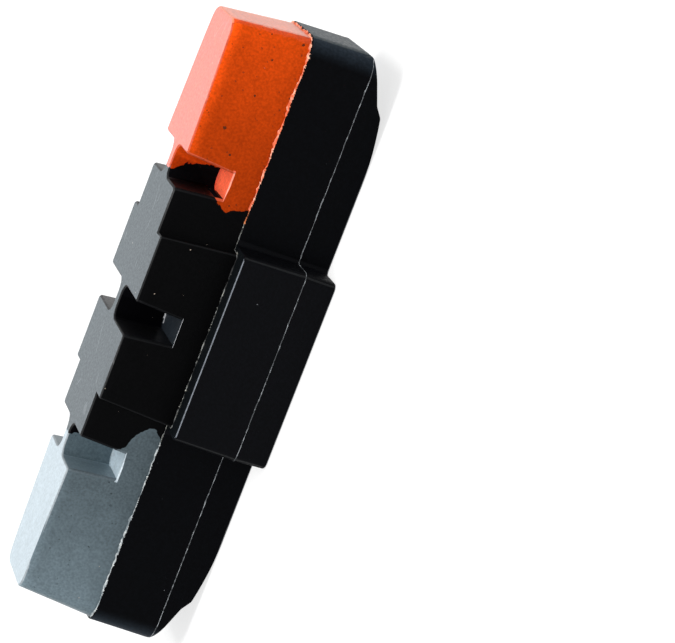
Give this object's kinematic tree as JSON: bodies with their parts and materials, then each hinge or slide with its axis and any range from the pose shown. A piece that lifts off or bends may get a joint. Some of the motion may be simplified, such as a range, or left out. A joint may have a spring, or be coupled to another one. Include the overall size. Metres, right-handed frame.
{
  "type": "bicycle rim brake pad",
  "caption": "Bicycle rim brake pad: slotted friction compound in orange, black and grey, moulded onto a carrier whose back snaps onto a brake piston.",
  "frame": {"origin": "centre of the snap socket on the flat back face, which the pad lies on", "axes": "+X along the pad towards the orange end, +Y across it, +Z from the back to the friction face"},
  "size_m": [0.0508, 0.0166, 0.0141],
  "materials": {
    "carrier_plastic": "fine eroded texture, satin",
    "spring_steel": "blackened, bright at the sheared edges",
    "compound_orange": "matt, slightly mottled",
    "compound_black": "matt with pale specks",
    "compound_grey": "matt, slightly mottled"
  },
  "bodies": {
    "root": {"carrier": "carrier_plastic", "snap_clip": "spring_steel", "orange_compound": "compound_orange", "black_compound": "compound_black", "grey_compound": "compound_grey"}
  },
  "joints": []
}
